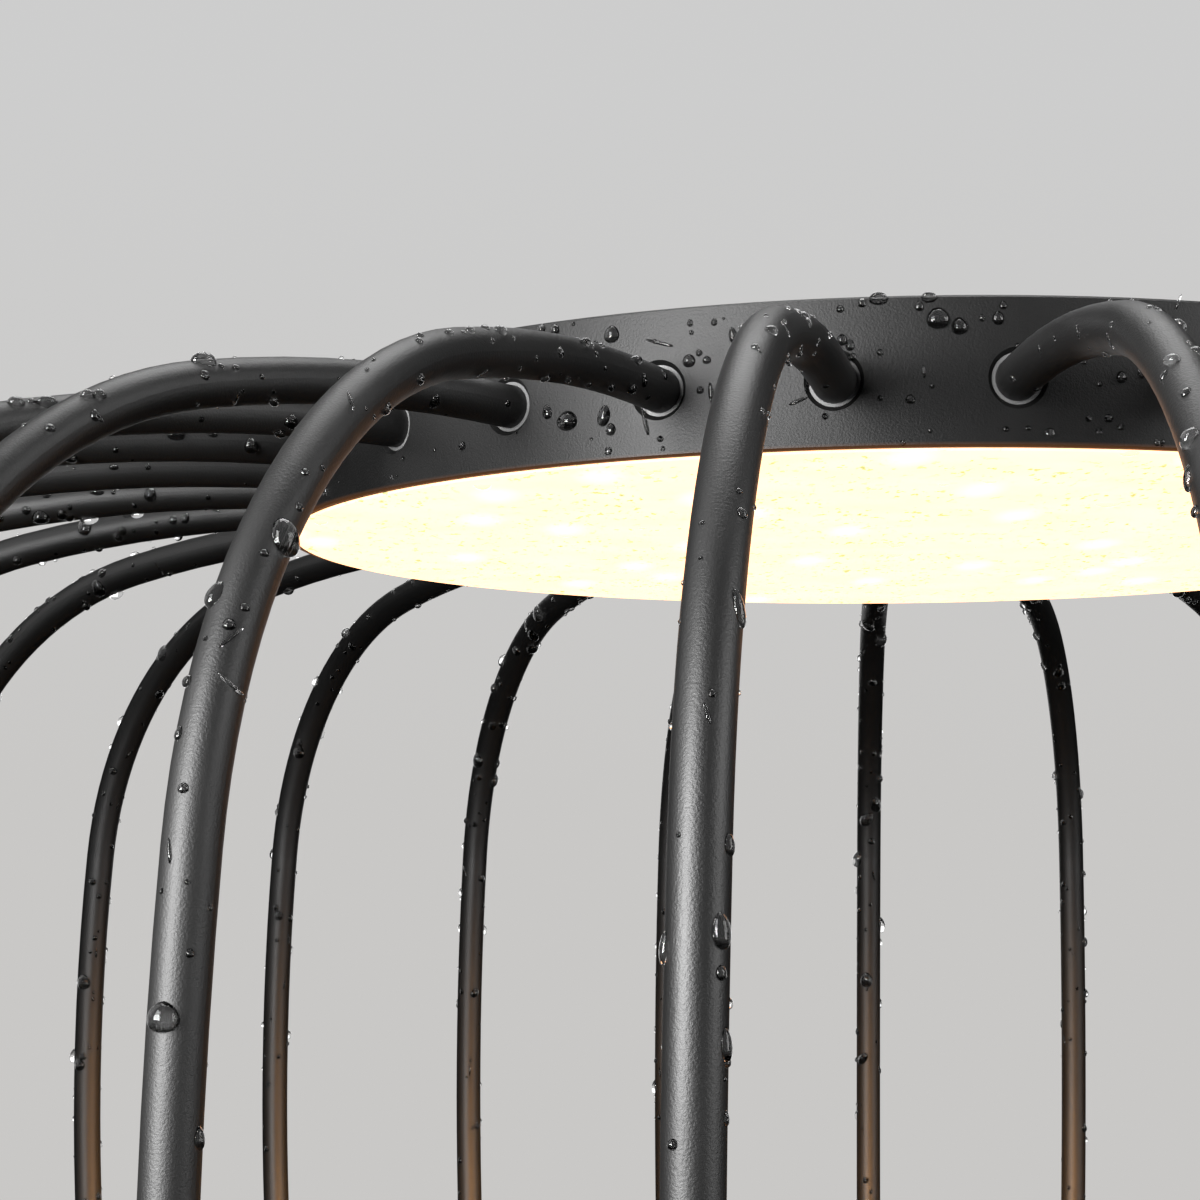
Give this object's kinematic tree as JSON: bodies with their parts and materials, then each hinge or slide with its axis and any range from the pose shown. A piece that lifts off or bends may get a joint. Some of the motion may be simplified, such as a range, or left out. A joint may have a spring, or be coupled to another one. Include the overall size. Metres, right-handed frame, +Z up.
{
  "type": "outdoor floor lamp",
  "caption": "Low round outdoor floor lamp: a flat lit head over a barrel cage of curved black rods, on a weighted base with levelling feet.",
  "frame": {"origin": "on the floor under the middle of the lamp, at the underside of the foot pads", "axes": "+Z up along the cage's axis; -Y towards the rod that carries the cable; +Y towards the cord inlet"},
  "size_m": [0.7548, 0.7535, 0.45],
  "materials": {
    "cage_black": "fine-textured black powder coat on steel bar",
    "housing_black": "fine-textured black powder coat on aluminium",
    "collar_steel": "turned bright steel",
    "screw_steel": "stainless, satin",
    "opal_diffuser": "opal acrylic lit from behind, warm white",
    "seal_rubber": "soft matt seal",
    "bare_aluminium": "rolled, bare",
    "board_white": "white solder mask",
    "led_phosphor": "yellow phosphor dome",
    "reflector_white": "white enamel on steel sheet",
    "ballast_iron": "sawn plate, primed",
    "case_plastic": "moulded, fine grain",
    "gland_plastic": "moulded nylon, satin",
    "cable_jacket": "smooth black jacket",
    "foot_rubber": "moulded, matt"
  },
  "bodies": {
    "lamp_frame": {"ballast_plates": "ballast_iron", "ballast_screws": "screw_steel", "base_collars": "collar_steel", "base_cover": "housing_black", "base_gasket": "seal_rubber", "base_housing": "housing_black", "base_rod_screws": "screw_steel", "board_screws": "screw_steel", "cable_gland": "gland_plastic", "cage_rod_01": "cage_black", "cage_rod_02": "cage_black", "cage_rod_03": "cage_black", "cage_rod_04": "cage_black", "cage_rod_05": "cage_black", "cage_rod_06": "cage_black", "cage_rod_07": "cage_black", "cage_rod_08": "cage_black", "cage_rod_09": "cage_black", "cage_rod_10": "cage_black", "cage_rod_11": "cage_black", "cage_rod_12": "cage_black", "cage_rod_13": "cage_black", "cage_rod_14": "cage_black", "cage_rod_15": "cage_black", "cage_rod_16": "cage_black", "cage_rod_17": "cage_black", "cage_rod_18": "cage_black", "cage_rod_19": "cage_black", "cage_rod_20": "cage_black", "cage_rod_21": "cage_black", "cage_rod_22": "cage_black", "cage_rod_23": "cage_black", "cage_rod_24": "cage_black", "cage_rod_25": "cage_black", "cage_rod_26": "cage_black", "cover_screws": "screw_steel", "diffuser_gasket": "seal_rubber", "driver_screws": "screw_steel", "feed_cable": "cable_jacket", "feed_tube": "cage_black", "feed_tube_nuts": "screw_steel", "gland_cap": "gland_plastic", "head_collars": "collar_steel", "head_connector": "board_white", "head_housing": "housing_black", "head_rod_screws": "screw_steel", "heat_spreader": "bare_aluminium", "led_board": "board_white", "led_chips": "led_phosphor", "led_driver": "case_plastic", "primary_lead": "cable_jacket", "reflector": "reflector_white", "terminal_block": "case_plastic"},
    "diffuser_disc": {"diffuser": "opal_diffuser"},
    "foot_1": {"foot_stud_1": "screw_steel", "foot_pad_1": "foot_rubber"},
    "foot_2": {"foot_stud_2": "screw_steel", "foot_pad_2": "foot_rubber"},
    "foot_3": {"foot_stud_3": "screw_steel", "foot_pad_3": "foot_rubber"}
  },
  "joints": [
    {"name": "diffuser_twist", "type": "hinge", "parent": "lamp_frame", "child": "diffuser_disc", "pos_m": [0, 0, 0.416], "axis": [0, 0, -1], "range_deg": [0, 30]},
    {"name": "foot_1_travel", "type": "slide", "parent": "lamp_frame", "child": "foot_1", "axis": [0, 0, -1], "range_m": [0, 0.01]},
    {"name": "foot_2_travel", "type": "slide", "parent": "lamp_frame", "child": "foot_2", "axis": [0, 0, -1], "range_m": [0, 0.01]},
    {"name": "foot_3_travel", "type": "slide", "parent": "lamp_frame", "child": "foot_3", "axis": [0, 0, -1], "range_m": [0, 0.01]}
  ]
}
